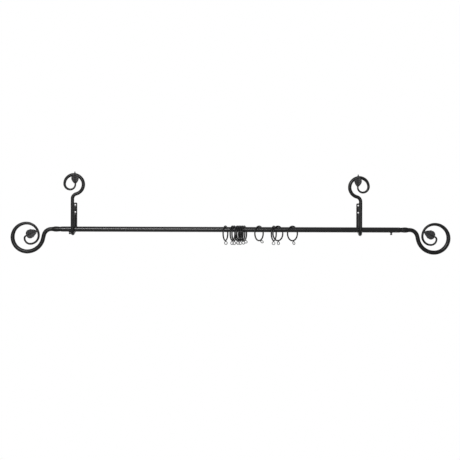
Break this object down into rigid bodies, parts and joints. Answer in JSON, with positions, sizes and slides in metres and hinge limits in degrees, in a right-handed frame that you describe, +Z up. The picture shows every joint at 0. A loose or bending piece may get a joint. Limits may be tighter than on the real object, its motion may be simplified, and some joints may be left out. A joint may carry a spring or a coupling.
{
  "type": "curtain rod with brackets",
  "caption": "Black wrought-iron curtain rod lying in scrolled hook brackets, with scroll and leaf finials and sliding rings that carry eyelets for the curtain.",
  "frame": {"origin": "on the wall, at the centre of the four wall-screw holes", "axes": "+X along the rod to the viewer's right, +Y into the wall, +Z up"},
  "size_m": [1.5859, 0.1009, 0.297],
  "materials": {
    "rod_black": "satin black",
    "iron_black": "satin black over hand-forged iron",
    "leaf_black": "satin black over beaten sheet",
    "ring_black": "satin black",
    "eyelet_grey": "worn black over bright wire",
    "screw_black": "satin black",
    "sleeve_steel": "plain steel"
  },
  "bodies": {
    "brackets": {"left_wall_plate": "iron_black", "left_hook_bar": "iron_black", "left_bracket_leaf": "leaf_black", "right_wall_plate": "iron_black", "right_hook_bar": "iron_black", "right_bracket_leaf": "leaf_black"},
    "rod": {"left_tube": "rod_black", "tube_joiner": "sleeve_steel", "left_weld_nut": "rod_black"},
    "right_rod": {"right_tube": "rod_black", "right_weld_nut": "rod_black"},
    "left_finial": {"left_finial_ferrule": "iron_black", "left_finial_scroll": "iron_black", "left_finial_leaf": "leaf_black"},
    "right_finial": {"right_finial_ferrule": "iron_black", "right_finial_scroll": "iron_black", "right_finial_leaf": "leaf_black"},
    "left_screw": {"left_thumbscrew": "screw_black"},
    "right_screw": {"right_thumbscrew": "screw_black"},
    "hanger_01": {"ring_01": "ring_black", "eyelet_01": "eyelet_grey"},
    "hanger_02": {"ring_02": "ring_black", "eyelet_02": "eyelet_grey"},
    "hanger_03": {"ring_03": "ring_black", "eyelet_03": "eyelet_grey"},
    "hanger_04": {"ring_04": "ring_black", "eyelet_04": "eyelet_grey"},
    "hanger_05": {"ring_05": "ring_black", "eyelet_05": "eyelet_grey"},
    "hanger_06": {"ring_06": "ring_black", "eyelet_06": "eyelet_grey"},
    "hanger_07": {"ring_07": "ring_black", "eyelet_07": "eyelet_grey"},
    "hanger_08": {"ring_08": "ring_black", "eyelet_08": "eyelet_grey"},
    "hanger_09": {"ring_09": "ring_black", "eyelet_09": "eyelet_grey"},
    "hanger_10": {"ring_10": "ring_black", "eyelet_10": "eyelet_grey"},
    "hanger_11": {"ring_11": "ring_black", "eyelet_11": "eyelet_grey"},
    "hanger_12": {"ring_12": "ring_black", "eyelet_12": "eyelet_grey"}
  },
  "joints": [
    {"name": "rod_lift", "type": "slide", "parent": "brackets", "child": "rod", "axis": [0, 0, 1], "range_m": [0, 0.08]},
    {"name": "right_tube_pull", "type": "slide", "parent": "rod", "child": "right_rod", "axis": [1, 0, 0], "range_m": [0, 0.075]},
    {"name": "left_finial_pull", "type": "slide", "parent": "rod", "child": "left_finial", "axis": [-1, 0, 0], "range_m": [0, 0.05]},
    {"name": "right_finial_pull", "type": "slide", "parent": "right_rod", "child": "right_finial", "axis": [1, 0, 0], "range_m": [0, 0.05]},
    {"name": "left_screw_turn", "type": "hinge", "parent": "rod", "child": "left_screw", "pos_m": [-0.52835, -0.07, -0.076], "axis": [0, 0, 1], "range_deg": [-1080, 0]},
    {"name": "right_screw_turn", "type": "hinge", "parent": "right_rod", "child": "right_screw", "pos_m": [0.62965, -0.07, -0.076], "axis": [0, 0, 1], "range_deg": [-1080, 0]},
    {"name": "ring_01_slide", "type": "slide", "parent": "rod", "child": "hanger_01", "axis": [1, 0, 0], "range_m": [-0.526, 0.01]},
    {"name": "ring_02_slide", "type": "slide", "parent": "rod", "child": "hanger_02", "axis": [1, 0, 0], "range_m": [-0.01, 0.0004]},
    {"name": "ring_03_slide", "type": "slide", "parent": "rod", "child": "hanger_03", "axis": [1, 0, 0], "range_m": [-0.0004, 0.0026]},
    {"name": "ring_04_slide", "type": "slide", "parent": "rod", "child": "hanger_04", "axis": [1, 0, 0], "range_m": [-0.0026, 0.0003]},
    {"name": "ring_05_slide", "type": "slide", "parent": "rod", "child": "hanger_05", "axis": [1, 0, 0], "range_m": [-0.0003, 0.0003]},
    {"name": "ring_06_slide", "type": "slide", "parent": "rod", "child": "hanger_06", "axis": [1, 0, 0], "range_m": [-0.0003, 0.0003]},
    {"name": "ring_07_slide", "type": "slide", "parent": "rod", "child": "hanger_07", "axis": [1, 0, 0], "range_m": [-0.0003, 0.0003]},
    {"name": "ring_08_slide", "type": "slide", "parent": "rod", "child": "hanger_08", "axis": [1, 0, 0], "range_m": [-0.0003, 0.019]},
    {"name": "ring_09_slide", "type": "slide", "parent": "rod", "child": "hanger_09", "axis": [1, 0, 0], "range_m": [-0.019, 0.019]},
    {"name": "ring_10_slide", "type": "slide", "parent": "rod", "child": "hanger_10", "axis": [1, 0, 0], "range_m": [-0.019, 0.0006]},
    {"name": "ring_11_slide", "type": "slide", "parent": "rod", "child": "hanger_11", "axis": [1, 0, 0], "range_m": [-0.0006, 0.017]},
    {"name": "ring_12_slide", "type": "slide", "parent": "rod", "child": "hanger_12", "axis": [1, 0, 0], "range_m": [-0.024, 0.21]}
  ]
}
